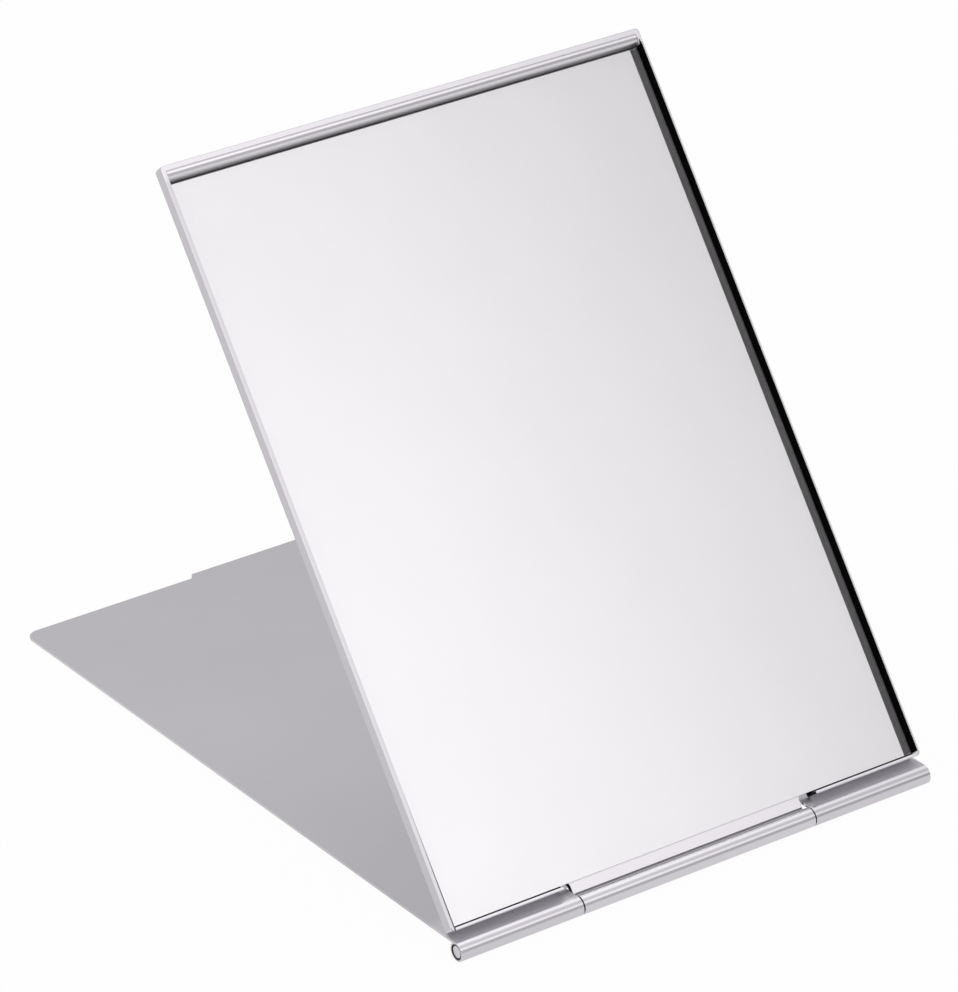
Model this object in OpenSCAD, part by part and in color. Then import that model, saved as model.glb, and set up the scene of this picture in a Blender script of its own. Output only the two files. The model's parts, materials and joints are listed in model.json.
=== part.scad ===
// Folding travel mirror: a thin metal tray with a plain mirror glass, and a stand plate
// that folds round behind it as a foot, or over the glass as a lid.
// One rolled three-knuckle hinge runs along the whole bottom edge.

/* [Overall size] */
// Width along the hinge
width = 120; // [84:1:170]
// Hinge axis to the top edge of the tray, and to the free edge of the plate
reach = 170; // [110:1:240]
// Angle between the tray's back and the stand plate, with the tray on its stop
open_angle = 54.3; // [48:0.1:70]

/* [Sheet metal] */
// Thickness of the stand plate and of the knuckles rolled from it
plate_t = 0.6; // [0.4:0.05:0.8]
// Thickness of the tray's floor and of the knuckle rolled from it
floor_t = 0.6; // [0.4:0.05:0.8]
// Thickness of the two side walls
wall_t = 1.0; // [0.7:0.05:1.4]
// Thickness of the top wall
top_wall_t = 1.2; // [0.7:0.05:1.4]
// Thickness of the two lips, the low walls beside the tongue
lip_t = 0.65; // [0.5:0.05:1]
// Outer radius between the tray's back and its side and top walls
bend_r = 1.0; // [0.5:0.05:1.1]
// Outer radius between the tray's back and its lips
lip_bend_r = 0.4; // [0.2:0.05:0.6]
// Corner radius of the tray seen from the front
tray_corner_r = 1.2; // [0.5:0.1:2]
// Corner radius of the stand plate at its free end
plate_corner_r = 3.0; // [1:0.1:8]

/* [Mirror] */
// Thickness of the glass
glass_t = 1.1; // [0.8:0.05:1.3]
// Thickness of the silver and paint on the back of the glass
backing_t = 0.05; // [0.03:0.01:0.1]
// Thickness of the double-sided tape
tape_t = 0.1; // [0.05:0.01:0.2]
// Width of each tape strip behind the glass
tape_w = 20; // [8:1:24]
// Free space left round the edge of the glass
glass_gap = 0.15; // [0.05:0.05:0.4]

/* [Black edging] */
// Thickness of the liners on the side walls and on the top bar
liner_t = 0.1; // [0.05:0.01:0.3]
// Thickness of the strips between the glass and the lips
strip_t = 0.45; // [0.2:0.05:0.6]

/* [Top bar] */
// Width of the bar, measured down the tray
bar_w = 2.6; // [1.8:0.1:3.4]
// Radius of the bar's round face
bar_r = 2.0; // [1.8:0.1:2.6]
// Groove between the bar and the top wall
bar_groove = 0.05; // [0.05:0.05:0.4]

/* [Hinge] */
// Outer diameter of the rolled knuckles
barrel_d = 4.2; // [4:0.1:6]
// Diameter of the hinge pin
pin_d = 1.8; // [1.2:0.1:2]
// Width of the knuckle in the middle, which belongs to the tray
centre_knuckle_w = 59; // [48:1:68]
// Gap between neighbouring knuckles
knuckle_gap = 0.3; // [0.15:0.05:0.6]
// Gap between the end of each roll and the flat sheet
roll_gap = 0.15; // [0.05:0.05:0.4]
// Width of the crease in the tongue at the foot of its knuckle
crease_w = 0.45; // [0.2:0.05:0.6]
// Length of each friction sleeve
sleeve_len = 22; // [6:1:26]
// Length of each end bush
bush_len = 8; // [3:0.5:12]
// Thickness of the bush's closed face
bush_face_t = 0.8; // [0.4:0.1:1.5]
// Depth of that face inside the knuckle's mouth
bush_recess = 0.1; // [0:0.05:0.6]

/* [Relief cuts] */
// Width of the slots beside the tray's tongue
slot_w = 2.5; // [1.6:0.1:3]
// Radius between a slot's end and the tongue
slot_r = 1.4; // [0.5:0.1:1.5]
// Distance from a slot to the round end of the lip
lip_back = 0.3; // [0.1:0.05:0.6]
// Room behind the tongue in the notch of the stand plate
notch_clear = 0.9; // [0.6:0.1:3]
// Corner radius of that notch
notch_r = 0.8; // [0.3:0.1:1]

/* [Finger tab] */
// Width of the tab where it leaves the plate's edge
tab_w = 32.4; // [16:0.2:60]
// Distance the tab stands out past the tray
tab_out = 1.8; // [1:0.1:6]
// Sideways run of each slanted end of the tab
tab_slant = 1.2; // [0.2:0.1:4]

/* [Clearances] */
// Gap between the plate and the tray's walls when the mirror is shut
closed_gap = 0.1; // [0.05:0.05:0.4]
// Gap left between the lips' bends and the plate on the stop
stop_gap = 0.1; // [0.05:0.05:0.3]
// Running clearance between the pin and the friction sleeves, on the radius
running_gap = 0.03; // [0.02:0.01:0.08]
// Allowance between pieces that are pressed or bonded together
fixed_gap = 0.01; // [0.005:0.005:0.03]

/* [Hidden] */
$fn = 64;

// Cutting tools run this far past the faces that they cut
over = 1;
half_w = width / 2;
barrel_r = barrel_d / 2;
// The plate's end, with its tab, and the slope at which it lies when the barrel stands on a table
plate_end = reach + tab_out;
plate_under = barrel_r - plate_t;
plate_slope = atan2(plate_under, plate_end)
            + asin(barrel_r / norm([plate_under, plate_end]));
tray_rise = open_angle - plate_slope;
// The origin is under the middle of the standing mirror, on the table
foot_back = plate_end * cos(plate_slope) + barrel_r * sin(plate_slope);
axis_y = -(foot_back - barrel_r) / 2;

// Heights above the tray's back, in the tray's own frame with the hinge axis at zero
back_n = -barrel_r;
floor_n = back_n + floor_t;
rim_n = barrel_r - plate_t - closed_gap;
tray_depth = rim_n - back_n;
glass_back_n = floor_n + tape_t + backing_t;
glass_front_n = glass_back_n + glass_t;

// The lips stop against the plate: the arc of their bend clears its upper face by stop_gap
bottom_v = (barrel_r + lip_bend_r + stop_gap - (lip_bend_r - barrel_r) * cos(open_angle))
         / sin(open_angle) - lip_bend_r;
lip_top_v = bottom_v + lip_t;
glass_low_v = lip_top_v + strip_t;
bar_high_v = reach - top_wall_t - bar_groove;
bar_low_v = bar_high_v - bar_w;
glass_high_v = bar_low_v - liner_t - glass_gap;
glass_half_w = half_w - wall_t - liner_t - glass_gap;
tongue_half_w = centre_knuckle_w / 2;
slot_far = tongue_half_w + slot_w;
lip_end = slot_far + lip_back;
notch_half_w = tongue_half_w + knuckle_gap;
// On the stop the tray's back and the plate's upper face meet at this distance from the axis
meet_v = barrel_r / tan(open_angle / 2);
notch_reach = meet_v + notch_clear;

// The tapes stop short of the glass's edges by this much
tape_inset = 5;
tape_pitch = glass_half_w - tape_inset - tape_w / 2;
// The slots run this far under the glass
slot_under_glass = 0.3;
// Bar ends clear the side walls, and the bar and the liners stay below the rim
bar_end_gap = 0.05;
bar_below_rim = 0.05;
liner_below_rim = 0.1;
// Collar at the bush's face, and the dark ring that it leaves inside the knuckle
bush_ring = 0.35;
bush_collar_r = plate_under - bush_ring;
bush_collar_len = 0.7;
// Free length between the pin's end and the bush
pin_end_gap = 0.1;
// Fillets in the corners inside the tray
inner_corner_r = 0.2;
// Slit that lets each sleeve grip the pin, and its distance from the knuckle's end
sleeve_slit = 0.5;
sleeve_inset = 1;

// Puts the hinge axis in its place above the table
module at_hinge() {
    translate([0, axis_y, barrel_r]) children();
}

// The tray's frame: Y runs up the tray from the hinge axis, Z points out of the mirror's face
module in_tray() {
    at_hinge() rotate([tray_rise, 0, 0]) children();
}

// The plate's frame: Y runs from the hinge axis to the free edge, Z is the upper side
module in_plate() {
    at_hinge() rotate([-plate_slope, 0, 0]) children();
}

// A rod along X between two places
module rod(from, to, r) {
    translate([from, 0, 0]) rotate([0, 90, 0]) cylinder(h = to - from, r = r);
}

// A tube along X between two places
module tube(from, to, outer, inner) {
    difference() {
        rod(from, to, outer);
        rod(from - over, to + over, inner);
    }
}

// A flat block between two corners
module block(low, high) {
    translate(low) cube(high - low);
}

// A rectangle whose four corners are round
module round_rect(low, high, r) {
    union() {
        translate([low[0] + r, low[1]]) square([high[0] - low[0] - 2 * r, high[1] - low[1]]);
        translate([low[0], low[1] + r]) square([high[0] - low[0], high[1] - low[1] - 2 * r]);
        for (x = [low[0] + r, high[0] - r])
            for (y = [low[1] + r, high[1] - r])
                translate([x, y]) circle(r = r);
    }
}

// Mirrors its children to the other side as well
module both_sides() {
    children();
    mirror([1, 0, 0]) children();
}

// What is cut from an edge to leave an arc. The edge lies on the X axis, and the solid on its
// +Y and +Z side.
module edge_cut(half_len, r) {
    difference() {
        block([-half_len, -over, -over], [half_len, r, r]);
        translate([0, r, r]) rod(-half_len - over, half_len + over, r);
    }
}

// Roundings of the tray's back along its lips, its top and its sides
module back_edge_cuts() {
    half_reach = (reach - bottom_v) / 2;
    translate([0, bottom_v, back_n]) edge_cut(half_w + over, lip_bend_r);
    translate([0, reach, back_n]) rotate([0, 0, 180]) edge_cut(half_w + over, bend_r);
    both_sides()
        translate([half_w, bottom_v + half_reach, back_n])
            rotate([0, 0, 90]) edge_cut(half_reach + over, bend_r);
}

// The slot between the tongue and a lip, with a round corner on the tongue's side
module slot_cut() {
    end_v = glass_low_v + slot_under_glass;
    low_v = bottom_v - over;
    translate([tongue_half_w, 0, back_n - over])
        linear_extrude(tray_depth + 2 * over)
            union() {
                translate([0, low_v]) square([slot_w, end_v - slot_r - low_v]);
                translate([slot_r, low_v]) square([slot_w - slot_r, end_v - low_v]);
                translate([slot_r, end_v - slot_r]) circle(r = slot_r);
            }
}

// The opening between the two lips, whose ends stay round
module lip_opening() {
    lip_r = lip_t / 2;
    translate([0, 0, floor_n]) linear_extrude(tray_depth) difference() {
        translate([-lip_end - lip_r, bottom_v - over])
            square([2 * (lip_end + lip_r), lip_t + 2 * over]);
        both_sides() translate([lip_end + lip_r, bottom_v + lip_r]) circle(r = lip_r);
    }
}

// Gap that the end of a roll leaves above a sheet whose face is the plane Z = 0
module roll_seam(half_len) {
    block([-half_len, 2 * roll_gap, 0], [half_len, barrel_r + over, roll_gap]);
}

// Crease pressed into a face along X
module crease_cut(half_len) {
    side = crease_w / sqrt(2);
    rotate([45, 0, 0]) cube([2 * half_len, side, side], center = true);
}

// Pan with walls at its sides and top and two lips at its bottom, between which a tongue
// runs out and is rolled into the middle knuckle
module mirror_tray() {
    color("lightgray") in_tray() union() {
        difference() {
            translate([0, 0, back_n]) linear_extrude(tray_depth)
                round_rect([-half_w, bottom_v], [half_w, reach], tray_corner_r);
            translate([0, 0, floor_n]) linear_extrude(tray_depth)
                round_rect([wall_t - half_w, lip_top_v], [half_w - wall_t, reach - top_wall_t],
                           inner_corner_r);
            lip_opening();
            back_edge_cuts();
            both_sides() slot_cut();
        }
        difference() {
            union() {
                block([-tongue_half_w, 0, back_n],
                      [tongue_half_w, bottom_v + lip_bend_r, floor_n]);
                rod(-tongue_half_w, tongue_half_w, barrel_r);
            }
            rod(-half_w, half_w, barrel_r - floor_t);
            translate([0, 0, floor_n]) roll_seam(half_w);
            translate([0, barrel_r + crease_w / 2, floor_n]) crease_cut(half_w);
        }
    }
}

// Section of the top bar, in the plane across it: X is up the tray, Y is out of its face.
// The round face leaves the glass at a right angle and passes its highest line near the groove.
module bar_section() {
    low = floor_n + tape_t;
    high = rim_n - bar_below_rim;
    intersection() {
        translate([0, low]) square([bar_w, high - low]);
        union() {
            translate([0, low - over]) square([bar_w, high - bar_r - low + over]);
            translate([bar_r, high - bar_r]) circle(r = bar_r);
        }
    }
}

// Bar that finishes the top edge above the glass
module top_bar() {
    bar_half_w = half_w - wall_t - bar_end_gap;
    color("gainsboro") in_tray()
        translate([-bar_half_w, bar_low_v, 0])
            rotate([90, 0, 90]) linear_extrude(2 * bar_half_w) bar_section();
}

// Tape that bonds the bar to the tray's floor
module bar_tape() {
    bar_half_w = half_w - wall_t - bar_end_gap;
    color("whitesmoke") in_tray()
        block([-bar_half_w, bar_low_v, floor_n], [bar_half_w, bar_high_v, floor_n + tape_t]);
}

// Plain sheet of glass
module mirror_glass() {
    color("aliceblue") in_tray()
        block([-glass_half_w, glass_low_v, glass_back_n],
              [glass_half_w, glass_high_v, glass_front_n]);
}

// Silver and protective paint on the back of the glass
module mirror_backing() {
    color("silver") in_tray()
        block([-glass_half_w, glass_low_v, glass_back_n - backing_t],
              [glass_half_w, glass_high_v, glass_back_n]);
}

// One strip of tape behind the glass, centred at x
module tape_strip(x) {
    color("whitesmoke") in_tray()
        block([x - tape_w / 2, glass_low_v + tape_inset, floor_n],
              [x + tape_w / 2, glass_high_v - tape_inset, floor_n + tape_t]);
}

module left_tape() {
    tape_strip(-tape_pitch);
}

module centre_tape() {
    tape_strip(0);
}

module right_tape() {
    tape_strip(tape_pitch);
}

// Black tape on the inner face of the right wall
module right_edge_liner() {
    color("black") in_tray()
        block([half_w - wall_t - liner_t, glass_low_v, floor_n],
              [half_w - wall_t, bar_low_v - liner_t, rim_n - liner_below_rim]);
}

module left_edge_liner() {
    mirror([1, 0, 0]) right_edge_liner();
}

// Black tape between the bar and the glass
module top_edge_liner() {
    liner_half_w = half_w - wall_t - bar_end_gap;
    color("black") in_tray()
        block([-liner_half_w, bar_low_v - liner_t, floor_n + tape_t],
              [liner_half_w, bar_low_v, glass_front_n]);
}

// Black strip that fills the joint between the glass and a lip
module right_bottom_strip() {
    color("black") in_tray()
        block([slot_far, lip_top_v, floor_n],
              [half_w - wall_t - inner_corner_r, glass_low_v, glass_front_n]);
}

module left_bottom_strip() {
    mirror([1, 0, 0]) right_bottom_strip();
}

// Outline of the stand plate with its finger tab and the notch for the middle knuckle
module plate_outline() {
    tab_root = tab_w / 2;
    tab_tip = tab_root - tab_slant;
    difference() {
        union() {
            round_rect([-half_w, 0], [half_w, reach], plate_corner_r);
            translate([-half_w, 0]) square([width, 2 * plate_corner_r]);
            polygon([[-tab_root, reach - over], [-tab_root, reach], [-tab_tip, plate_end],
                     [tab_tip, plate_end], [tab_root, reach], [tab_root, reach - over]]);
        }
        round_rect([-notch_half_w, -barrel_r - over], [notch_half_w, notch_reach], notch_r);
    }
}

// Flat plate with a knuckle rolled at each end of its hinge edge
module stand_plate() {
    color("silver") in_plate() difference() {
        union() {
            translate([0, 0, plate_under]) linear_extrude(plate_t) plate_outline();
            both_sides() rod(notch_half_w, half_w, barrel_r);
        }
        both_sides() rod(notch_half_w - over, half_w + over, plate_under);
        translate([0, 0, plate_under]) mirror([0, 0, 1]) roll_seam(half_w + over);
    }
}

// Steel pin through all three knuckles
module hinge_pin() {
    end_x = half_w - bush_recess - bush_face_t - pin_end_gap;
    color("dimgray") in_plate() rod(-end_x, end_x, pin_d / 2);
}

// Bush that closes the knuckle's mouth and holds the end of the pin
module right_end_bush() {
    face_x = half_w - bush_recess;
    color("gray") in_plate() difference() {
        union() {
            rod(face_x - bush_len, face_x - bush_collar_len, plate_under - fixed_gap);
            rod(face_x - bush_len, face_x, bush_collar_r);
        }
        rod(face_x - bush_len - over, face_x - bush_face_t, pin_d / 2 + fixed_gap);
    }
}

module left_end_bush() {
    mirror([1, 0, 0]) right_end_bush();
}

// Split sleeve, fixed in the tray's knuckle, that grips the pin
module right_friction_sleeve() {
    to_x = tongue_half_w - sleeve_inset;
    color("dimgray") in_tray() difference() {
        tube(to_x - sleeve_len, to_x, barrel_r - floor_t - fixed_gap, pin_d / 2 + running_gap);
        block([to_x - sleeve_len - over, -sleeve_slit / 2, 0],
              [to_x + over, sleeve_slit / 2, barrel_r]);
    }
}

module left_friction_sleeve() {
    mirror([1, 0, 0]) right_friction_sleeve();
}

mirror_tray();
top_bar();
bar_tape();
mirror_glass();
mirror_backing();
left_tape();
centre_tape();
right_tape();
left_edge_liner();
right_edge_liner();
top_edge_liner();
left_bottom_strip();
right_bottom_strip();
stand_plate();
hinge_pin();
left_end_bush();
right_end_bush();
left_friction_sleeve();
right_friction_sleeve();
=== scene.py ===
import json
import math

import bmesh
import bpy
import numpy as np
from mathutils import Matrix, Vector


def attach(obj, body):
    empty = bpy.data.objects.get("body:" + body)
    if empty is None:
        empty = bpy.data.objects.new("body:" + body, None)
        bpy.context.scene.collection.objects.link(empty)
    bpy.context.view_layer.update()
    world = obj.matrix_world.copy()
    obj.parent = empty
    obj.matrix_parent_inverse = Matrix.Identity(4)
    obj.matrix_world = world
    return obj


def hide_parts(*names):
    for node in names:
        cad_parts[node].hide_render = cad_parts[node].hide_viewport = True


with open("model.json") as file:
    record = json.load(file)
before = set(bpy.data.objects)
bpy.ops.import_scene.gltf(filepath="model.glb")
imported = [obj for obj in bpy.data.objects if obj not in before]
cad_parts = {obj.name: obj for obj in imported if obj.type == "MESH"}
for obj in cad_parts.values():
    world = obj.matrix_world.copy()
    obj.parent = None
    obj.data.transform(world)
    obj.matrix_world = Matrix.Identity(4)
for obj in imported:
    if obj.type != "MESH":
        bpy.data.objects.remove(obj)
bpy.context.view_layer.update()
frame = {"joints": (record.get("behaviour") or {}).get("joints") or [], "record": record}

MM = 0.001

# 1. Mirror tray
# One pressing of 0.6 mm satin aluminium: a pan with a wall at each side and at the top, and two
# low lips at the bottom. Between the lips a tongue runs out through the wall and is rolled into
# the middle knuckle of the hinge, with a crease where the roll's edge comes down on the tongue.
HALF_W = 60.0
REACH = 170.0
ROLL_R, ROLL_GAP = 2.1, 0.15
SHEET = 0.6
SIDE_WALL, TOP_WALL, LIP_WALL = 1.0, 1.2, 0.65
WALL_IN = HALF_W - SIDE_WALL
BACK_BEND, LIP_BEND, RIM_BEND = 1.0, 0.4, 0.2
TRAY_CORNER, INNER_CORNER, LEAST_CORNER = 0.9, 0.2, 0.05
TRAY_EASE = 0.05
BACK_N, FLOOR_N, RIM_N = -ROLL_R, SHEET - ROLL_R, 1.4
OPEN_ANGLE, STOP_GAP = math.radians(54.3), 0.1
# Open, the lips come down on the plate: the arc of their bend ends STOP_GAP above its upper face
BOTTOM_V = ((ROLL_R + LIP_BEND + STOP_GAP - (LIP_BEND - ROLL_R) * math.cos(OPEN_ANGLE))
            / math.sin(OPEN_ANGLE) - LIP_BEND)
LIP_TOP_V = BOTTOM_V + LIP_WALL
LIP_END, LIP_SLANT = 32.3, 0.29 * LIP_WALL
TONGUE_HALF_W, TONGUE_JOIN_V = 29.5, 3.4
ROOT_HALF_W, ROOT_LOW_V, ROOT_LAP = 31.0, 2.9, 0.4
SLOT_FAR, SLOT_LOW_V, SLOT_R = 32.0, 2.5, 1.4
SLOT_END_V = BOTTOM_V + SLOT_R
CREASE_W = 0.45
CREASE_END = ROLL_R + CREASE_W
CUT_PAST = 1.0
TRAY_COLOUR = (0.92, 0.912, 0.933)

hinge_axis = np.array(frame["joints"][0]["pos_m"])
face_way = np.array(frame["record"]["mounts"][0]["axis"])
tray_axes = np.array([(1, 0, 0), (0, face_way[2], -face_way[1]), face_way])
tray_rise = math.atan2(-face_way[1], face_way[2])


def in_tray(points):
    """Points (x, v, n) in millimetres, v up the tray from the hinge axis and n out of its face,
    put into the row frame: the axis, plus each number times its own direction."""
    return hinge_axis + np.asarray(points, float) @ tray_axes * MM


def ring_faces(rings, count):
    """Quads between neighbouring rings of a grid, each from a point, its neighbour on the ring and
    the two above them, and one flat face that closes each end."""
    ring, at = np.meshgrid(np.arange(rings - 1), np.arange(count), indexing="ij")
    here, beside = ring * count + at, ring * count + (at + 1) % count
    quads = np.stack([here, beside, beside + count, here + count], -1).reshape(-1, 4)
    ends = [list(range(count))[::-1], list(range((rings - 1) * count, rings * count))]
    return quads.tolist() + ends


def stacked(half_w, low, high, rows):
    """A stack of round-cornered rectangles between v = low and v = high. A row says how far the
    sides, the top and the bottom are drawn in, the corner radius, and the height at the sides and
    at the bottom. A point is its corner's centre plus the radius times the cosine and the sine of
    an angle, and the height slides from one value to the other with the angle's downward part."""
    rows = np.asarray(rows, float)[:, None, :]
    side, top, bottom, radius, height, low_height = np.moveaxis(rows, 2, 0)
    quarter = np.linspace(0, math.pi / 2, 9)
    angle = (quarter + np.arange(4)[:, None] * math.pi / 2).reshape(-1)
    right = np.repeat((1, -1, -1, 1), len(quarter))
    upper = np.repeat((1, 1, 0, 0), len(quarter))
    x = right * (half_w - side - radius) + radius * np.cos(angle)
    v = np.where(upper, high - top - radius, low + bottom + radius) + radius * np.sin(angle)
    down = np.clip(-np.sin(angle), 0, 1)
    n = height + (low_height - height) * down
    points = np.stack([x, v, n + 0 * x], -1)
    return points.reshape(-1, 3), ring_faces(*points.shape[:2])


def standing(outline, low, high):
    """A prism: the outline, a closed line of (x, v) points, at the height low and again at high."""
    outline = np.asarray(outline, float)
    points = [np.column_stack([outline, np.full(len(outline), n)]) for n in (low, high)]
    return np.concatenate(points), ring_faces(2, len(outline))


def carried(section, low_x, high_x):
    """A closed section of (v, n) points, carried straight along X from low_x to high_x."""
    section = np.asarray(section, float)
    points = [np.column_stack([np.full(len(section), x), section]) for x in (low_x, high_x)]
    return np.concatenate(points), ring_faces(2, len(section))


def arc(centre, radius, start, end, count):
    """Points at equal angles, in degrees, on a circle: its centre plus the radius times the cosine
    and the sine."""
    angle = np.radians(np.linspace(start, end, count))
    return np.asarray(centre) + radius * np.column_stack([np.cos(angle), np.sin(angle)])


def rolled(turn, flat_end, extra=()):
    """Section of a sheet that runs out to flat_end at the height turn times -ROLL_R and is rolled
    right round the hinge axis. The outer face is a circle of ROLL_R, the inner one is a sheet
    thinner, and both stop where the roll's edge comes down to ROLL_GAP above the sheet. turn is 1
    for a sheet under the axis and -1 for one over it, and extra are points along its inner face."""
    inner = ROLL_R - SHEET
    edge_n = -inner + ROLL_GAP
    outer_end = math.degrees(math.asin(edge_n / ROLL_R)) - 360
    inner_end = math.degrees(math.asin(edge_n / inner)) - 360
    section = np.concatenate([
        [(flat_end, -ROLL_R)], arc((0, 0), ROLL_R, -90, outer_end, count=65),
        arc((0, 0), inner, inner_end, -90, count=65), np.reshape(extra, (-1, 2)),
        [(flat_end, -inner)]])
    return section * (1, turn)


def solid(name, made):
    """An object from (points, faces) in millimetres, with every face turned outwards."""
    points, faces = made
    mesh = bpy.data.meshes.new(name)
    mesh.from_pydata(points.tolist(), [], faces)
    obj = bpy.data.objects.new(name, mesh)
    bpy.context.scene.collection.objects.link(obj)
    shell = bmesh.new()
    shell.from_mesh(mesh)
    bmesh.ops.recalc_face_normals(shell, faces=shell.faces)
    shell.to_mesh(mesh)
    shell.free()
    return obj


def worked(obj, steps):
    """Joins each (operation, (points, faces)) to obj or cuts it from obj, one after another.
    Afterwards points closer than 2 microns are one, and flats have no lines across them."""
    for operation, made in steps:
        tool = solid("tool", made)
        cut = obj.modifiers.new("cut", "BOOLEAN")
        cut.operation, cut.object, cut.solver = operation, tool, "EXACT"
        result = obj.evaluated_get(bpy.context.evaluated_depsgraph_get())
        shape = bpy.data.meshes.new_from_object(result)
        obj.modifiers.clear()
        obj.data = shape
        bpy.data.objects.remove(tool)
    shape.name = obj.name
    shell = bmesh.new()
    shell.from_mesh(shape)
    bmesh.ops.remove_doubles(shell, verts=shell.verts, dist=0.002)
    bmesh.ops.dissolve_limit(shell, angle_limit=math.radians(0.3), verts=shell.verts,
                             edges=shell.edges)
    shell.to_mesh(shape)
    shell.free()


def placed(obj, place):
    """obj with its points put from millimetres into the row frame."""
    points = np.empty(len(obj.data.vertices) * 3, np.float32)
    obj.data.vertices.foreach_get("co", points)
    obj.data.vertices.foreach_set("co", place(points.reshape(-1, 3)).astype(np.float32).ravel())
    obj.data.update()
    return obj


def mesh_of(name, made, place):
    """An object from (points, faces), its points put into the row frame by place."""
    return placed(solid(name, made), place)


def finished(obj, node, body, material, ease=0.0):
    """Takes the place of a CAD node: sharp edges are eased by that many millimetres, and the shading
    runs smoothly round every bend while the flats stay flat."""
    if ease:
        bevel = obj.modifiers.new("eased edges", "BEVEL")
        bevel.width, bevel.segments = ease * MM, 2
        bevel.limit_method, bevel.angle_limit = "ANGLE", math.radians(30)
        bevel.use_clamp_overlap = False
    flats = obj.modifiers.new("flats", "WEIGHTED_NORMAL")
    flats.weight = 100
    obj.data.shade_smooth()
    obj.data.materials.clear()
    obj.data.materials.append(material)
    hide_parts(node)
    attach(obj, body)


# The pan's rows go round the bend from the back to the walls, over the rim's rounded edge, and down
# inside to the floor. out and up say how far each point of a quarter bend lies from the bend's end.
quarter = np.radians(np.linspace(0, 90, 9))
out, up = 1 - np.sin(quarter), 1 - np.cos(quarter)
bend = np.column_stack([
    BACK_BEND * out, BACK_BEND * out, LIP_BEND * out,
    np.maximum(TRAY_CORNER - BACK_BEND * out, LEAST_CORNER),
    BACK_N + BACK_BEND * up, BACK_N + LIP_BEND * up])
shoulder = np.column_stack(
    [RIM_BEND * up] * 3 + [TRAY_CORNER - RIM_BEND * up] + [RIM_N - RIM_BEND * out] * 2)[::2]
inside = [(SIDE_WALL, TOP_WALL, LIP_WALL, INNER_CORNER, n, n) for n in (RIM_N, FLOOR_N)]
pan_rows = np.concatenate([bend, shoulder, inside])

half_opening = np.array([
    (LIP_END + LIP_SLANT + CUT_PAST, BOTTOM_V - CUT_PAST), (LIP_END, BOTTOM_V + LIP_SLANT),
    (LIP_END, LIP_TOP_V - LIP_SLANT), (LIP_END + LIP_SLANT + CUT_PAST, LIP_TOP_V + CUT_PAST)])
opening = np.concatenate([half_opening, half_opening[::-1] * (-1, 1)])
root = [(-ROOT_HALF_W, ROOT_LOW_V), (ROOT_HALF_W, ROOT_LOW_V),
        (ROOT_HALF_W, LIP_TOP_V + ROOT_LAP), (-ROOT_HALF_W, LIP_TOP_V + ROOT_LAP)]
slot = np.concatenate([
    [(TONGUE_HALF_W, SLOT_LOW_V), (SLOT_FAR, SLOT_LOW_V), (SLOT_FAR, SLOT_END_V)],
    arc((TONGUE_HALF_W + SLOT_R, SLOT_END_V - SLOT_R), SLOT_R, 90, 180, count=13)])
crease = [(ROLL_R, FLOOR_N), (ROLL_R + CREASE_W / 2, FLOOR_N - CREASE_W / 2), (CREASE_END, FLOOR_N)]
tongue = carried(rolled(1, TONGUE_JOIN_V, crease), -TONGUE_HALF_W, TONGUE_HALF_W)

tray = solid("tray_pressing", stacked(HALF_W, BOTTOM_V, REACH, pan_rows))
worked(tray, [("DIFFERENCE", standing(opening, FLOOR_N, RIM_N + CUT_PAST)),
              ("UNION", standing(root, BACK_N, FLOOR_N)),
              ("DIFFERENCE", standing(slot, BACK_N - CUT_PAST, RIM_N + CUT_PAST)),
              ("DIFFERENCE", standing(slot * (-1, 1), BACK_N - CUT_PAST, RIM_N + CUT_PAST)),
              ("UNION", tongue)])
placed(tray, in_tray)


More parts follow.
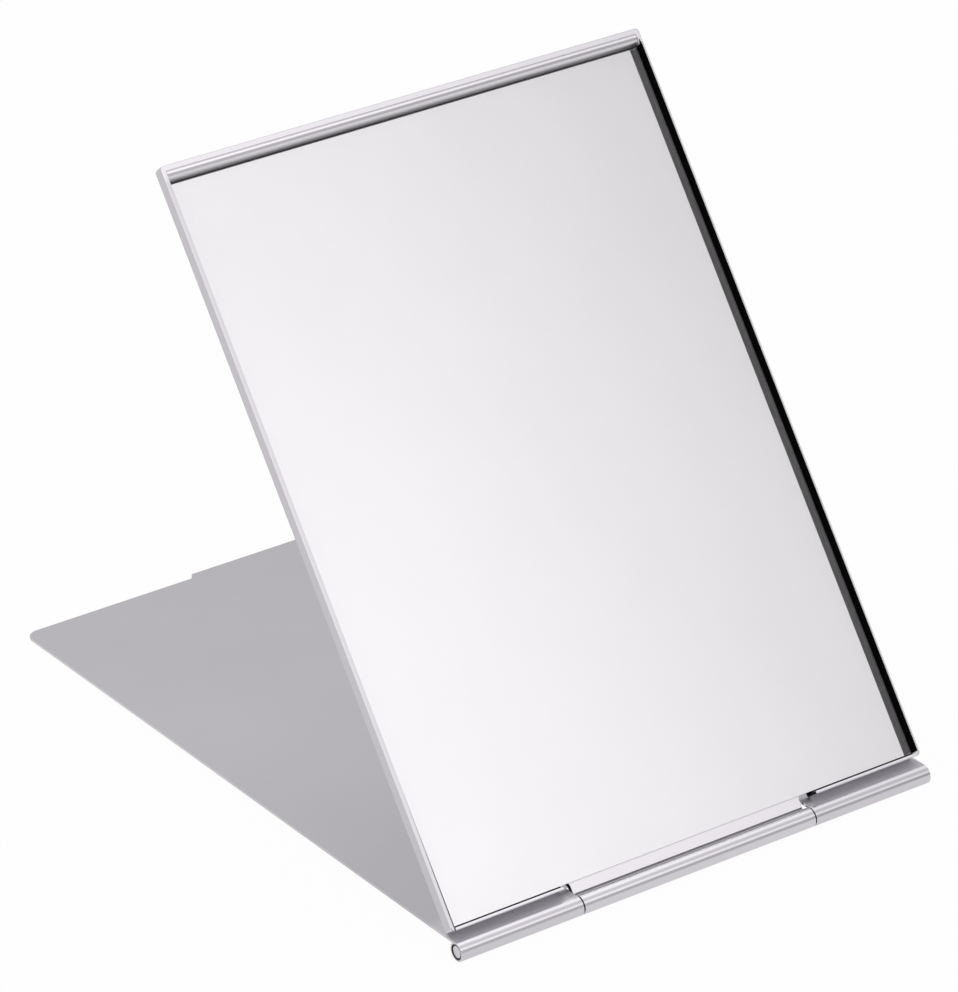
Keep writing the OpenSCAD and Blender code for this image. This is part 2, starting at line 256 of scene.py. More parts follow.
class Sock:
    """A socket in a node tree. Arithmetic on it adds Math nodes, a | b is the larger of two numbers,
    and add() puts in any other node."""

    def __init__(self, tree, out=None):
        self.tree, self.out = tree, out

    def add(self, kind, settings=None, values=None, out=0):
        """A node of this kind. Its settings come first, a ramp's stops among them, and then the
        values or links of its sockets. Returns one of its outputs."""
        node = self.tree.nodes.new("ShaderNode" + kind)
        for name, value in (settings or {}).items():
            if name == "stops":
                ramp = node.color_ramp.elements
                while len(ramp) < len(value):
                    ramp.new(0.5)
                for stop, (place, colour) in zip(ramp, value):
                    stop.position, stop.color = place, (*colour, 1)
            elif name == "interpolation":
                node.color_ramp.interpolation = value
            else:
                setattr(node, name, value)
        for name, value in (values or {}).items():
            if isinstance(value, Sock):
                self.tree.links.new(value.out, node.inputs[name])
            else:
                node.inputs[name].default_value = value
        return Sock(self.tree, node.outputs[out] if len(node.outputs) else None)

    def maths(self, operation, a, b=0.0):
        """A Math node on one number or two."""
        return self.add("Math", {"operation": operation}, {0: a, 1: b})

    def __add__(self, other): return self.maths("ADD", self, other)
    def __radd__(self, other): return self.maths("ADD", other, self)
    def __sub__(self, other): return self.maths("SUBTRACT", self, other)
    def __rsub__(self, other): return self.maths("SUBTRACT", other, self)
    def __mul__(self, other): return self.maths("MULTIPLY", self, other)
    def __rmul__(self, other): return self.maths("MULTIPLY", other, self)
    def __truediv__(self, other): return self.maths("DIVIDE", self, other)
    def __pow__(self, other): return self.maths("POWER", self, other)
    def __or__(self, other): return self.maths("MAXIMUM", self, other)
    def __abs__(self): return self.maths("ABSOLUTE", self)

    def step(self, start, end, low=0.0, high=1.0):
        """low up to start, high from end, and a smooth slope between them."""
        return self.add("MapRange", {"interpolation_type": "SMOOTHSTEP"}, {
            "Value": self, "From Min": start, "From Max": end, "To Min": low, "To Max": high})

    def between(self, rise, fall):
        """1 between two smooth slopes, each given by its start and end, and 0 outside them."""
        return self.step(*rise) * (1 - self.step(*fall))

    def blend(self, first, second):
        """A colour that goes from first to second as this number goes from 0 to 1."""
        first, second = (c if isinstance(c, Sock) else (*c, 1) for c in (first, second))
        return self.add("Mix", {"data_type": "RGBA"}, {0: self, 6: first, 7: second}, 2)

    def shade(self, colour):
        """The colour times this number."""
        colour = colour if isinstance(colour, Sock) else (*colour, 1)
        return self.add("Mix", {"data_type": "RGBA", "blend_type": "MULTIPLY"},
                        {0: 1.0, 6: colour, 7: self}, 2)

    def parts(self):
        """The three numbers of a vector."""
        node = self.add("SeparateXYZ", values={0: self}).out.node
        return [Sock(self.tree, output) for output in node.outputs]

    def surface(self, shader):
        """Ends a material with this shader."""
        self.add("OutputMaterial", values={"Surface": shader})


def new_finish(name):
    """An empty material and a Sock in its tree."""
    material = bpy.data.materials.new(name)
    material.use_nodes = True
    material.node_tree.nodes.clear()
    return material, Sock(material.node_tree)


def measured(m, turn):
    """Object coordinates in millimetres in a frame on the hinge axis, turned about it by turn."""
    return m.add("Mapping", {"vector_type": "TEXTURE"}, {
        "Vector": m.add("TexCoord", out=3), "Location": tuple(hinge_axis),
        "Rotation": (turn, 0, 0), "Scale": (MM, MM, MM)})


def noise(m, place, waves, stretch=(1, 1, 1), detail=2.0):
    """Noise about 0 in that many waves to the millimetre, times stretch along each direction."""
    place = m.add("Mapping", values={"Vector": place, "Scale": stretch})
    return m.add("TexNoise", values={"Vector": place, "Scale": waves, "Detail": detail}) - 0.5


DARKEST, DULLEST = 0.8, 0.55


def satin_aluminium(name, colour, roughness, turn, shade_and_dulling):
    """Satin aluminium sheet: an even bright metal with a very fine etched grain, faint lines along X
    left by the rolls, and handling that changes its gloss a little. The last argument gives two
    masks: painted shade, which darkens its tone by up to DARKEST, and where it is duller, by up to
    DULLEST of roughness."""
    material, m = new_finish(name)
    place = measured(m, turn)
    grain = noise(m, place, 9.0, detail=1.0)
    lines = noise(m, place, 1.0, (0.03, 4.0, 4.0), 3.0)
    clouds = noise(m, place, 0.035, detail=3.0)
    # dark is painted shade from the part's masks, and dull only raises the roughness
    dark, dull = shade_and_dulling(place)
    tone = (1 + 0.03 * lines + 0.03 * clouds) * (1 - DARKEST * dark)
    tint = tone.shade(colour)
    bump = m.add("Bump", values={"Strength": 0.05, "Distance": 0.00002, "Height": grain + lines})
    gloss = roughness + 0.03 * grain + 0.05 * lines + 0.06 * clouds + DULLEST * dull
    m.surface(m.add("BsdfPrincipled", values={
        "Base Color": tint, "Metallic": 1.0, "Roughness": gloss, "Normal": bump}))
    return material


LINE_WIDE, LINE_THIN, LINE_SOFT = 0.28, 0.1, 0.03
# Widths of the band of painted shade beside the slots, on the left and on the right
SHADE_BAND_WIDE, SHADE_BAND_THIN = 0.34, 0.02
LIP_FACE = 0.12
SOFT = 0.05


def tray_shade_and_dulling(place):
    """Where the tray is darker, and where it is duller: painted shade in the crease at the foot of
    the roll and on the cut walls of the two slots and of the lips beside them, and a thin dark line
    inside the left rim, which slims and fades up the tray. The outer sides get a little painted
    shade, and the rims up to the bar are only a little darker. A slot's mask is all that lies within
    its radius, and the width of a band of painted shade beyond it, of its round end's centre or of
    the line down from there."""
    x, v, n = place.parts()
    # The band of painted shade beside each slot: wide on the left, thin on the right
    shade_band = x.step(-1, 1, SHADE_BAND_WIDE, SHADE_BAND_THIN)
    line_edge = v.step(4, 35, -WALL_IN - LINE_WIDE, -WALL_IN - LINE_THIN)
    line = (x - line_edge).step(-LINE_SOFT, LINE_SOFT)
    line = line * (1 - x.step(-WALL_IN + LINE_SOFT, -WALL_IN + 2 * LINE_SOFT))
    line = line * n.step(RIM_N - 0.3, RIM_N - 0.1) * (1 - v.step(8, 45))
    x = abs(x)
    # Painted shade in the crease at the foot of the roll
    crease = v.between((ROLL_R - 0.08, ROLL_R + SOFT), (CREASE_END - SOFT, CREASE_END + 0.08))
    crease = crease * (1 - n.step(FLOOR_N + SOFT, FLOOR_N + 0.2))
    beside = place.maths("MINIMUM", x - (TONGUE_HALF_W + SLOT_R), 0.0)
    above = place.maths("MAXIMUM", v - (SLOT_END_V - SLOT_R), 0.0)
    off_centre = (beside * beside + above * above) ** 0.5
    slots = 1 - off_centre.step(shade_band + SLOT_R, shade_band + (SLOT_R + SOFT))
    slots = slots * (1 - x.step(LIP_END + LIP_FACE, LIP_END + LIP_FACE + SOFT))
    slots = slots * v.step(ROOT_LOW_V - 0.3, ROOT_LOW_V) * (1 - n.step(RIM_N - 0.2, RIM_N - SOFT))
    rims = x.step(WALL_IN - SOFT, WALL_IN + SOFT) * n.step(RIM_N - 0.25, RIM_N - SOFT)
    rims = rims * (1 - v.step(REACH - 4, REACH - 2))
    # Painted shade on the outer sides of the walls
    sides = 0.14 * x.step(HALF_W - 0.1, HALF_W - 0.02)
    dull = 0.6 * crease | 1.2 * slots | line
    return dull | (0.22 * rims | sides), dull


tray_metal = satin_aluminium("satin_aluminium_tray", TRAY_COLOUR, 0.22, tray_rise, tray_shade_and_dulling)
finished(tray, "mirror_tray", "mirror", tray_metal, TRAY_EASE)


# 2. Tapes
# Four lengths of thin, cloudy double-sided tape. Three hold the glass on the tray's floor and one
# holds the bar. They are pressed flat, with soft cut edges.
TAPE, BACKING, GLASS = 0.1, 0.05, 1.1
TAPE_EDGE = 0.03
TAPE_W, TAPE_PITCH = 20.0, 43.75
TAPE_LOW_V, TAPE_HIGH_V = 10.12, 160.9
BAR_HALF_W = 58.95
BAR_LOW_V, BAR_HIGH_V = 166.38, 168.78
TAPE_PALE, TAPE_GREY = (0.82, 0.81, 0.76), (0.68, 0.67, 0.62)


def slab(low, high, edge, corner=0.0):
    """A flat slab between two corners (x, v, n), its edges rounded by a quarter circle: a stack of
    rectangles drawn in by the radius less its sine, and raised by the radius less its cosine."""
    (low_x, low_v, low_n), (high_x, high_v, high_n) = low, high
    drawn, raised = edge * out[::2], edge * up[::2]
    radius = max(corner, 1.01 * edge)
    lower = np.column_stack([drawn] * 3 + [radius - drawn] + [low_n + raised] * 2)
    upper = np.column_stack([drawn] * 3 + [radius - drawn] + [high_n - raised] * 2)[::-1]
    points, faces = stacked((high_x - low_x) / 2, low_v, high_v, np.concatenate([lower, upper]))
    return points + ((high_x + low_x) / 2, 0, 0), faces


tape_film, m = new_finish("cloudy_tape")
bubbles = noise(m, measured(m, tray_rise), 0.8, detail=4.0).step(0.05, 0.2)
milky = bubbles.blend(TAPE_PALE, TAPE_GREY)
m.surface(m.add("BsdfPrincipled", values={"Base Color": milky, "Roughness": 0.45 + 0.2 * bubbles}))

for name, centre in (("left_tape", -TAPE_PITCH), ("centre_tape", 0.0), ("right_tape", TAPE_PITCH)):
    strip = slab((centre - TAPE_W / 2, TAPE_LOW_V, FLOOR_N),
                 (centre + TAPE_W / 2, TAPE_HIGH_V, FLOOR_N + TAPE), TAPE_EDGE)
    finished(mesh_of(name + "_strip", strip, in_tray), name, "mirror", tape_film)
strip = slab((-BAR_HALF_W, BAR_LOW_V, FLOOR_N), (BAR_HALF_W, BAR_HIGH_V, FLOOR_N + TAPE), TAPE_EDGE)
finished(mesh_of("bar_tape_strip", strip, in_tray), "bar_tape", "mirror", tape_film)


# 3. Mirror glass and its silvering
# A plain 1.1 mm sheet of float glass with its edges just taken off, and behind it the silver, which
# carries a coat of grey paint. The silver lies a hundredth of a millimetre under the glass here.
LIP_JOINT, BAR_JOINT = 0.3, 0.1
GLASS_HALF_W = 58.9
GLASS_LOW_V, GLASS_HIGH_V = LIP_TOP_V + LIP_JOINT, BAR_LOW_V - BAR_JOINT
GLASS_BACK_N = FLOOR_N + TAPE + BACKING
GLASS_FRONT_N = GLASS_BACK_N + GLASS
GLASS_EDGE, GLASS_CORNER = 0.03, 0.3
SILVER_GAP, SILVER_EDGE, SILVER_CORNER = 0.01, 0.005, 0.4
WIPED, SMEARED = (0.999, 1.0, 0.999), (0.990, 0.992, 0.991)
EDGE_DARK, EDGE_TOP, EDGE_BOTTOM = (0.006, 0.007, 0.0065), (0.070, 0.073, 0.072), (0.50, 0.53, 0.52)
PAINT_DEEP, PAINT_PALE = (0.28, 0.29, 0.30), (0.34, 0.35, 0.36)
SILVER_DEEP, SILVER_THIN = (0.977, 0.974, 0.977), (0.973, 0.970, 0.973)
# Inside its outline the sheet turns from clear to ground between GROUND_IN and GROUND_OUT, and the
# tones of its top and bottom edges start at TONE_IN. The silver ends likewise behind its front
GROUND_OUT, GROUND_IN, TONE_IN = 0.02, 0.04, 0.06
SILVER_OUT, SILVER_IN = 0.008, 0.012

mirror_glass, m = new_finish("clear_glass")
place = measured(m, tray_rise)
x, v, n = place.parts()
smears = noise(m, place, 0.03, (1, 0.6, 1), 3.0).step(-0.1, 0.25)
clear = m.add("BsdfPrincipled", values={
    "Base Color": smears.blend(WIPED, SMEARED), "Roughness": 0.0, "IOR": 1.52,
    "Transmission Weight": 0.92, "Specular Tint": (0, 0, 0, 1)})
ground = noise(m, place, 5.0, detail=3.0)
lower = 1 - v.step(GLASS_LOW_V + GROUND_OUT, GLASS_LOW_V + TONE_IN)
upper = v.step(GLASS_HIGH_V - TONE_IN, GLASS_HIGH_V - GROUND_IN)
edge = m.add("BsdfPrincipled", values={
    "Base Color": lower.blend(upper.blend(EDGE_DARK, EDGE_TOP), EDGE_BOTTOM),
    "Roughness": 0.5 + 0.2 * ground, "Specular IOR Level": 0.3})
beside = abs(x).step(GLASS_HALF_W - GROUND_IN, GLASS_HALF_W - GROUND_OUT)
above = v.step(GLASS_HIGH_V - GROUND_IN, GLASS_HIGH_V - GROUND_OUT)
below = 1 - v.step(GLASS_LOW_V + GROUND_OUT, GLASS_LOW_V + GROUND_IN)
m.surface(m.add("MixShader", values={0: beside | above | below, 1: clear, 2: edge}))
sheet = slab((-GLASS_HALF_W, GLASS_LOW_V, GLASS_BACK_N),
             (GLASS_HALF_W, GLASS_HIGH_V, GLASS_FRONT_N), GLASS_EDGE, GLASS_CORNER)
finished(mesh_of("mirror_sheet", sheet, in_tray), "mirror_glass", "mirror", mirror_glass)

silver, m = new_finish("silver_and_paint")
place = measured(m, tray_rise)
silver_n = GLASS_BACK_N - SILVER_GAP
front = place.parts()[2].step(silver_n - SILVER_IN, silver_n - SILVER_OUT)
spray = noise(m, place, 1.5, detail=4.0)
paint = m.add("BsdfPrincipled", values={
    "Base Color": spray.step(-0.2, 0.2).blend(PAINT_DEEP, PAINT_PALE),
    "Roughness": 0.5 + 0.2 * spray})
deposit = noise(m, place, 0.05, detail=2.0).step(-0.2, 0.2)
shine = m.add("BsdfPrincipled", values={
    "Base Color": deposit.blend(SILVER_DEEP, SILVER_THIN), "Metallic": 1.0, "Roughness": 0.0})
m.surface(m.add("MixShader", values={0: front, 1: paint, 2: shine}))
layer = slab((-GLASS_HALF_W, GLASS_LOW_V, GLASS_BACK_N - BACKING),
             (GLASS_HALF_W, GLASS_HIGH_V, silver_n), SILVER_EDGE, SILVER_CORNER)
finished(mesh_of("silver_layer", layer, in_tray), "mirror_backing", "mirror", silver)


# 4. Linings and bottom strips
# Matt black tape lines the inner faces of the side walls, and on the right it is folded over the
# rim. Dark grey tape lines the bar. A black strip in the joint at each lip is painted shade there.
LINER, LINER_SHORT, LINER_EASE = 0.06, 0.3, 0.01
LAP, LAP_T = 0.55, 0.03
LINING_TOP = BAR_LOW_V - LINER
TAPER, LAP_TIP_V = 0.1, 167.7
TIP_OUT, TIP_SHARE = 0.2, 0.12
STRIP_SHORT, STRIP_EDGE = 0.2, 0.12
SIDES = ("right", 1), ("left", -1)


def matt_tape(name, deep, dusty):
    """Matt dark tape: a shade between deep and dusty in a fine grain, which stands out slightly."""
    material, m = new_finish(name)
    grain = noise(m, measured(m, tray_rise), 6.0, detail=3.0)
    soot = grain.step(-0.1, 0.2).blend((deep,) * 3, (dusty,) * 3)
    bump = m.add("Bump", values={"Strength": 0.2, "Distance": 0.00001, "Height": grain})
    m.surface(m.add("BsdfPrincipled", values={
        "Base Color": soot, "Roughness": 0.6 + 0.2 * grain, "Specular IOR Level": 0.0,
        "Normal": bump}))
    return material


def tapered(*rings):
    """A closed section of (x, n) points that changes along V: each (section, v) is a ring of points
    at that v, and neighbouring rings are joined point by point."""
    points = [np.column_stack([section[:, 0], np.full(len(section), v), section[:, 1]])
              for section, v in rings]
    return np.concatenate(points), ring_faces(len(rings), len(rings[0][0]))


def handed(made, sign):
    """(points, faces) for the side of that sign: every x times 1 on the right, or -1 on the left."""
    points, faces = made
    return points * (sign, 1, 1), faces


black_lining = matt_tape("black_lining", 0.003, 0.006)
grey_lining = matt_tape("grey_lining", 0.06, 0.085)
upright = np.array([(WALL_IN - LINER, FLOOR_N), (WALL_IN, FLOOR_N),
                    (WALL_IN, RIM_N - LINER_SHORT), (WALL_IN - LINER, RIM_N - LINER_SHORT)])
lapped = np.array([(WALL_IN - LINER, FLOOR_N), (WALL_IN, FLOOR_N), (WALL_IN, RIM_N),
                   (WALL_IN + LAP, RIM_N), (WALL_IN + LAP, RIM_N + LAP_T),
                   (WALL_IN - LINER, RIM_N + LAP_T)])
lap_only = np.concatenate([[(WALL_IN - LINER, RIM_N), (WALL_IN - LINER / 2, RIM_N)], lapped[2:]])
lap_tip = np.column_stack([
    WALL_IN + TIP_OUT + TIP_SHARE * (lap_only[:, 0] - WALL_IN), lap_only[:, 1]])
right_lining = tapered((lapped, GLASS_LOW_V), (lapped, LINING_TOP),
                       (lap_only, LINING_TOP + TAPER), (lap_tip, LAP_TIP_V))
left_lining = tapered((upright, GLASS_LOW_V), (upright, LINING_TOP))
# Painted shade: a black strip in each lip's joint, where the gap between glass and lip lies in shadow
lip_shade_strip = slab((SLOT_FAR, LIP_TOP_V, FLOOR_N),
                 (WALL_IN - STRIP_SHORT, GLASS_LOW_V, GLASS_FRONT_N), STRIP_EDGE)
for (side, sign), lining in zip(SIDES, (right_lining, left_lining)):
    finished(mesh_of(side + "_wall_lining", handed(lining, sign), in_tray),
             side + "_edge_liner", "mirror", black_lining, LINER_EASE)
    finished(mesh_of(side + "_lip_strip", handed(lip_shade_strip, sign), in_tray),
             side + "_bottom_strip", "mirror", black_lining)
strip = slab((-BAR_HALF_W, BAR_LOW_V - LINER, FLOOR_N + TAPE),
             (BAR_HALF_W, BAR_LOW_V, GLASS_FRONT_N), LINER / 2)
finished(mesh_of("bar_lining", strip, in_tray), "top_edge_liner", "mirror", grey_lining)


# 5. Top bar
# A drawn aluminium strip with a round face, taped across the top between the glass and the wall.
# Its foot beside the glass has painted shade.
BAR_R, BAR_SUNK, BAR_EASE = 2.0, 0.05, 0.03
BAR_TOP_N, BAR_FOOT_N = RIM_N - BAR_SUNK, FLOOR_N + TAPE
# How far up the bar the painted shade at its foot reaches, and how dark it is at the foot
FOOT_W, FOOT_SHADE = 1.02, 0.75
BAR_COLOUR = (0.975, 0.967, 0.985)


def bar_foot_shade(place):
    """Painted shade and dullness at the bar's foot by the glass, less and less up to FOOT_W."""
    foot = FOOT_SHADE - FOOT_SHADE * place.parts()[1].step(BAR_LOW_V, BAR_LOW_V + FOOT_W)
    return foot, foot


round_centre = (BAR_LOW_V + BAR_R, BAR_TOP_N - BAR_R)
far_angle = math.degrees(math.acos((BAR_HIGH_V - BAR_LOW_V - BAR_R) / BAR_R))
bar_section = np.concatenate([
    [(BAR_LOW_V, BAR_FOOT_N), (BAR_HIGH_V, BAR_FOOT_N)],
    arc(round_centre, BAR_R, far_angle, 180, count=49)])
bar = mesh_of("round_faced_bar", carried(bar_section, -BAR_HALF_W, BAR_HALF_W), in_tray)
bar_metal = satin_aluminium("satin_aluminium_bar", BAR_COLOUR, 0.2, tray_rise, bar_foot_shade)
finished(bar, "top_bar", "mirror", bar_metal, BAR_EASE)


# 6. Stand plate
# Flat 0.6 mm aluminium with a finger tab on its free edge. Beside the notch for the tray's knuckle
# its hinge edge is rolled down into the two outer knuckles.
PLATE_END, PLATE_CORNER, PLATE_EASE = 171.8, 3.0, 0.07
PLATE_UNDER = ROLL_R - SHEET
TAB_ROOT, TAB_TIP = 16.2, 15.0
FLAT_FROM, KNUCKLE_JOIN = 1.0, 2.0
NOTCH_HALF_W, NOTCH_CLEAR, NOTCH_R = 29.8, 0.9, 0.8
# Open, the tray's back meets the plate's upper face at ROLL_R / tan(OPEN_ANGLE / 2) from the axis
NOTCH_V = ROLL_R / math.tan(OPEN_ANGLE / 2) + NOTCH_CLEAR
PLATE_COLOUR = (0.875, 0.868, 0.89)

# The plate slopes down to the lower edge of its tab, and its barrel stands on the table
slope = (math.atan2(PLATE_UNDER, PLATE_END)
         + math.asin(ROLL_R / math.hypot(PLATE_UNDER, PLATE_END)))
plate_axes = np.array([(1, 0, 0), (0, math.cos(slope), -math.sin(slope)),
                       (0, math.sin(slope), math.cos(slope))])


def in_plate(points):
    """Points (x, y, z) in millimetres, y from the hinge axis to the plate's free edge and z out of
    its upper face, put into the row frame: the axis, plus each number times its own direction."""
    return hinge_axis + np.asarray(points, float) @ plate_axes * MM


def plate_shade_and_dulling(place):
    """Where the plate is darker: painted shade between the knuckles and the tray, where it is dull as
    well, a little painted shade all over towards the hinge, and a ring of painted shade on the inner
    part of the knuckles' ends, round the bushes."""
    x, y, z = place.parts()
    on_top = z.step(ROLL_R - 0.2, ROLL_R - 0.05)
    # Painted shade between the knuckles and the tray, and towards the hinge
    joint = y.between((0.0, 0.9), (1.6, 5.0)) * on_top
    hinge_side = y.between((5, 12), (0, 120))
    # A ring of painted shade in each knuckle's mouth
    end_face = abs(x).step(HALF_W - 0.15, HALF_W - 0.05)
    mouth = end_face * (1 - (y * y + z * z).step(2.9, 3.2))
    dull = 0.5 * y.between((0.0, 0.9), (5, 9)) * on_top
    return 0.2 * joint + 0.21 * hinge_side | 1.15 * mouth, dull


half_plate = np.concatenate([
    arc((NOTCH_HALF_W - NOTCH_R, NOTCH_V - NOTCH_R), NOTCH_R, 90, 0, count=9),
    [(NOTCH_HALF_W, FLAT_FROM), (HALF_W, FLAT_FROM)],
    arc((HALF_W - PLATE_CORNER, REACH - PLATE_CORNER), PLATE_CORNER, 0, 90, count=17),
    [(TAB_ROOT, REACH), (TAB_TIP, PLATE_END)]])
plate_line = np.concatenate([half_plate, half_plate[::-1] * (-1, 1)])
knuckle = rolled(-1, KNUCKLE_JOIN)
plate = solid("plate_sheet", standing(plate_line, PLATE_UNDER, ROLL_R))
worked(plate, [("UNION", carried(knuckle, NOTCH_HALF_W, HALF_W)),
               ("UNION", carried(knuckle, -HALF_W, -NOTCH_HALF_W))])
placed(plate, in_plate)
plate_metal = satin_aluminium("satin_aluminium_plate", PLATE_COLOUR, 0.22, -slope, plate_shade_and_dulling)
finished(plate, "stand_plate", "stand", plate_metal, PLATE_EASE)


# 7. Pin, friction sleeves and end bushes
# One steel pin runs through all three knuckles. Two split spring sleeves in the tray's knuckle grip
# it, and a turned bush pressed into each outer mouth keeps it in.
AXIS_R = 0.02
PIN_R, PIN_END, PIN_CHAMFER = 0.9, 59.0, 0.15
BUSH_GAP, COLLAR_GAP = 0.01, 0.12
BUSH_R, BUSH_LEN, BUSH_EASE = PLATE_UNDER - BUSH_GAP, 8.0, 0.03
COLLAR_R, COLLAR_LEN, COLLAR_ROUND = PLATE_UNDER - COLLAR_GAP, 0.7, 0.12
FACE_X, FACE_T, BORE_R = 59.9, 0.8, 0.91
SLEEVE_FROM, SLEEVE_TO, SLEEVE_IN, SLIT = 6.5, 28.5, 0.93, 0.5
LATHE_LINES = 90.0
# The last colour is painted shade, near black, for the outer ring of the bushes' collars
STEEL_BRIGHT, STEEL_DULL, STEEL_SHADE = (0.92, 0.91, 0.92), (0.76, 0.75, 0.76), (0.02, 0.02, 0.02)


def turned(profile):
    """A profile of (x, radius) points turned about the hinge axis: the radius times the cosine and
    the sine of an angle that runs once round. A closed profile starts and ends at AXIS_R."""
    profile = np.asarray(profile, float)
    angle = np.linspace(0, 2 * math.pi, 96, endpoint=False)
    x = np.repeat(profile[:, :1], len(angle), 1)
    points = np.stack([x, profile[:, 1:] * np.cos(angle), profile[:, 1:] * np.sin(angle)], -1)
    return points.reshape(-1, 3), ring_faces(*points.shape[:2])


def slit_angle(radius):
    """Half the slit's angle at that radius, in degrees: the arcsine of half its width by the
    radius."""
    return math.degrees(math.asin(SLIT / 2 / radius))


turned_steel, m = new_finish("turned_steel")
place = measured(m, -slope)
x, y, z = place.parts()
radius = (y * y + z * z) ** 0.5
rings = m.maths("SINE", radius * LATHE_LINES)
smut = noise(m, place, 3.0, detail=3.0)
steel = smut.step(-0.05, 0.25).blend(STEEL_BRIGHT, STEEL_DULL)
# Painted shade: the outer ring of each bush's collar is drawn near black, a dark ring in the
# knuckle's mouth
collar_shaded = radius.step(COLLAR_R - 0.1, COLLAR_R - 0.02).blend(steel, STEEL_SHADE)
bump = m.add("Bump", values={"Strength": 0.3, "Distance": 0.000004, "Height": rings})
m.surface(m.add("BsdfPrincipled", values={
    "Base Color": collar_shaded, "Metallic": 1.0, "Roughness": 0.28 + 0.1 * smut, "Normal": bump}))

pin = turned([(-PIN_END, AXIS_R), (-PIN_END, PIN_R - PIN_CHAMFER), (-PIN_END + PIN_CHAMFER, PIN_R),
              (PIN_END - PIN_CHAMFER, PIN_R), (PIN_END, PIN_R - PIN_CHAMFER), (PIN_END, AXIS_R)])
finished(mesh_of("steel_pin", pin, in_plate), "hinge_pin", "stand", turned_steel)

bush = turned(np.concatenate([
    [(FACE_X, AXIS_R)],
    arc((FACE_X - COLLAR_ROUND, COLLAR_R - COLLAR_ROUND), COLLAR_ROUND, 0, 90, count=5),
    [(FACE_X - COLLAR_LEN, COLLAR_R), (FACE_X - COLLAR_LEN, BUSH_R), (FACE_X - BUSH_LEN, BUSH_R),
     (FACE_X - BUSH_LEN, BORE_R), (FACE_X - FACE_T, BORE_R), (FACE_X - FACE_T, AXIS_R)]]))
for side, sign in SIDES:
    finished(mesh_of(side + "_turned_bush", handed(bush, sign), in_plate),
             side + "_end_bush", "stand", turned_steel, BUSH_EASE)

outer_slit, inner_slit = slit_angle(BUSH_R), slit_angle(SLEEVE_IN)
sleeve_section = np.concatenate([
    arc((0, 0), BUSH_R, 90 + outer_slit, 450 - outer_slit, count=65),
    arc((0, 0), SLEEVE_IN, 450 - inner_slit, 90 + inner_slit, count=65)])
sleeve = carried(sleeve_section, SLEEVE_FROM, SLEEVE_TO)
for side, sign in SIDES:
    finished(mesh_of(side + "_split_sleeve", handed(sleeve, sign), in_tray),
             side + "_friction_sleeve", "mirror", turned_steel, BUSH_EASE)


# 8. Studio
# A white table under a light tent: a soft light high in front, a broader one high behind, and
# darker cloth between and below them. The camera stands to the front left, a little above.
TINT = np.array((1.0, 0.972, 1.005))
# How bright the tent is at an angle in degrees, from the front (0) over the top (90) to the back
TENT = ((-180, 0.39), (0, 0.41), (22, 0.36), (29, 0.45), (34, 0.88), (39, 1.00),
        (47, 0.84), (53, 0.68), (60, 0.54), (68, 0.56), (76, 0.54), (84, 0.60),
        (92, 0.82), (104, 0.93), (126, 0.92), (136, 0.66), (148, 0.36), (180, 0.33))
TENT_STRENGTH = 1.3
# Between these X parts of a direction the tent fades to RIGHT_LEVEL of that
FADE_FROM, FADE_TO, RIGHT_LEVEL = 0.46, 0.60, 0.55
TABLE_HALF, TABLE_DROP = 3.0, 0.0001
PAPER = (0.85, 0.85, 0.86)
# The table glows in part, for what sees it, and a little more for the camera. Metal and glass see
# it at TABLE_IN_METAL of the white that the camera sees
SEEN_GLOW, CAMERA_GLOW = 0.9, 0.07
TABLE_IN_METAL = 0.68


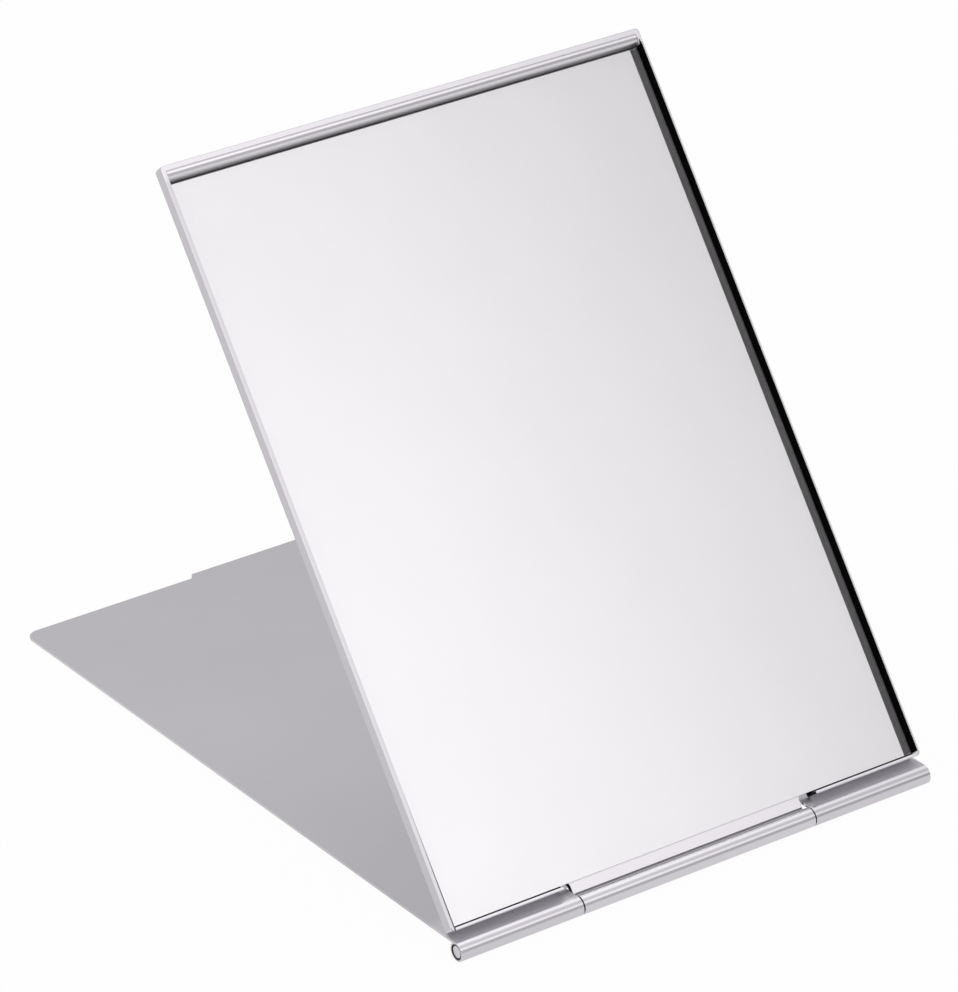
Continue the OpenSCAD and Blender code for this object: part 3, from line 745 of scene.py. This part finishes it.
def stand_camera():
    """The camera that took the photograph. Its three angles turn it from facing +Y, so that it looks
    along (sin yaw cos pitch, cos yaw cos pitch, -sin pitch), and its offset is the hinge's middle
    as it sees it: to the right, up and ahead, in millimetres."""
    focal_px, picture_px, sensor_mm = 5784.5, 992, 36
    yaw, pitch, roll = (math.radians(angle) for angle in (34.020, 27.254, -1.358))
    to_right, to_top, ahead = 44.829, -77.008, 1193.149
    forward = Vector((math.sin(yaw) * math.cos(pitch), math.cos(yaw) * math.cos(pitch),
                      -math.sin(pitch)))
    right = Vector((math.cos(yaw), -math.sin(yaw), 0))
    upward = right.cross(forward)
    right, upward = (right * math.cos(roll) + upward * math.sin(roll),
                     upward * math.cos(roll) - right * math.sin(roll))
    place = -(right * to_right + upward * to_top + forward * ahead) * MM
    place.y += hinge_axis[1]
    data = bpy.data.cameras.new("camera")
    data.sensor_width = sensor_mm
    data.lens = focal_px * sensor_mm / picture_px
    data.clip_start, data.clip_end = 0.01, 50
    camera = bpy.data.objects.new("camera", data)
    bpy.context.scene.collection.objects.link(camera)
    turn = Matrix((right, upward, -forward)).transposed().to_4x4()
    camera.matrix_world = Matrix.Translation(place) @ turn
    bpy.context.scene.camera = camera


stand_camera()
bpy.context.scene.view_settings.view_transform = "Standard"

tent = bpy.data.worlds.new("light_tent")
bpy.context.scene.world = tent
tent.use_nodes = True
tent.node_tree.nodes.clear()
w = Sock(tent.node_tree)
across, ahead, height = w.add("TexCoord").parts()
turns = w.maths("ARCTAN2", height, 0 - ahead) / math.tau + 0.5
stops = [((angle + 180) / 360, light * TINT) for angle, light in TENT]
level = w.add("ValToRGB", {"interpolation": "B_SPLINE", "stops": stops}, {"Fac": turns})
dimmed = across.step(FADE_FROM, FADE_TO, 1.0, RIGHT_LEVEL).shade(level)
studio = w.add("Background", values={"Color": dimmed, "Strength": TENT_STRENGTH})
white = w.add("Background", values={"Color": (1, 1, 1, 1), "Strength": 1.0})
seen = w.add("MixShader", values={0: w.add("LightPath"), 1: studio, 2: white})
w.add("OutputWorld", values={"Surface": seen})

corners = [(x * TABLE_HALF, y * TABLE_HALF, -TABLE_DROP)
           for x, y in ((-1, -1), (1, -1), (1, 1), (-1, 1))]
table_mesh = bpy.data.meshes.new("table")
table_mesh.from_pydata(corners, [], [(0, 1, 2, 3)])
table = bpy.data.objects.new("table", table_mesh)
bpy.context.scene.collection.objects.link(table)
white_table, m = new_finish("white_table")
rays = m.add("LightPath").out.node.outputs
camera_ray, in_gloss, through_glass = (
    Sock(m.tree, rays[kind]) for kind in ("Is Camera Ray", "Is Glossy Ray", "Is Transmission Ray"))
paper = m.add("BsdfDiffuse", values={"Color": (*PAPER, 1)})
glow = m.add("Emission", values={
    "Color": camera_ray.blend(TABLE_IN_METAL * TINT, (1, 1, 1)), "Strength": 1.0})
glowing = SEEN_GLOW * (camera_ray | in_gloss | through_glass) + CAMERA_GLOW * camera_ray
m.surface(m.add("MixShader", values={0: glowing, 1: paper, 2: glow}))
table_mesh.materials.append(white_table)
